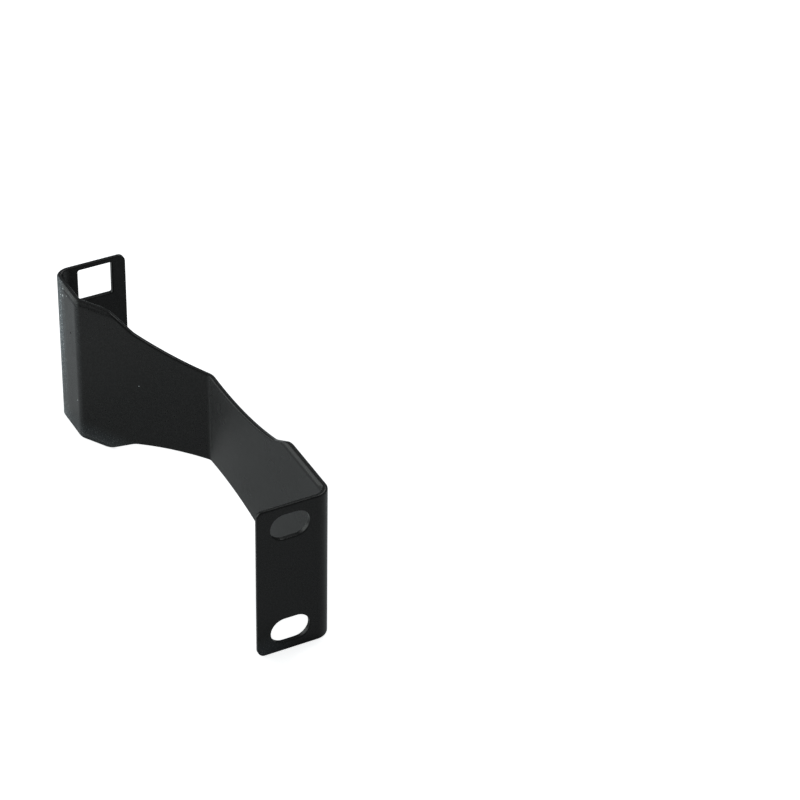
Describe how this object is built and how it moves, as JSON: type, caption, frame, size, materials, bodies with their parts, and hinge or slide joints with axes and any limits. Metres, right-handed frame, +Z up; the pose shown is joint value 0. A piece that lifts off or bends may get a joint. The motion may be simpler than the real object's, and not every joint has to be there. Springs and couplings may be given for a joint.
{
  "type": "rack mount ear bracket",
  "caption": "Folded sheet steel bracket that sets a rack ear in front of or behind its rail: slotted flange, jogged web with curved notches, and a flange with square nut holes.",
  "frame": {"origin": "middle of the slotted flange's outer face, between its slots, in line with the middle of the square holes", "axes": "+X along the flanges, from the slotted flange's free edge to the fold that joins it to the web; +Y back along the web to the flange with the square holes; +Z up, along the line between the slots"},
  "size_m": [0.023, 0.1178, 0.0436],
  "materials": {
    "powder_coat": "black powder coat, satin, with a very fine texture"
  },
  "bodies": {
    "root": {"ear_bracket": "powder_coat"}
  },
  "joints": []
}
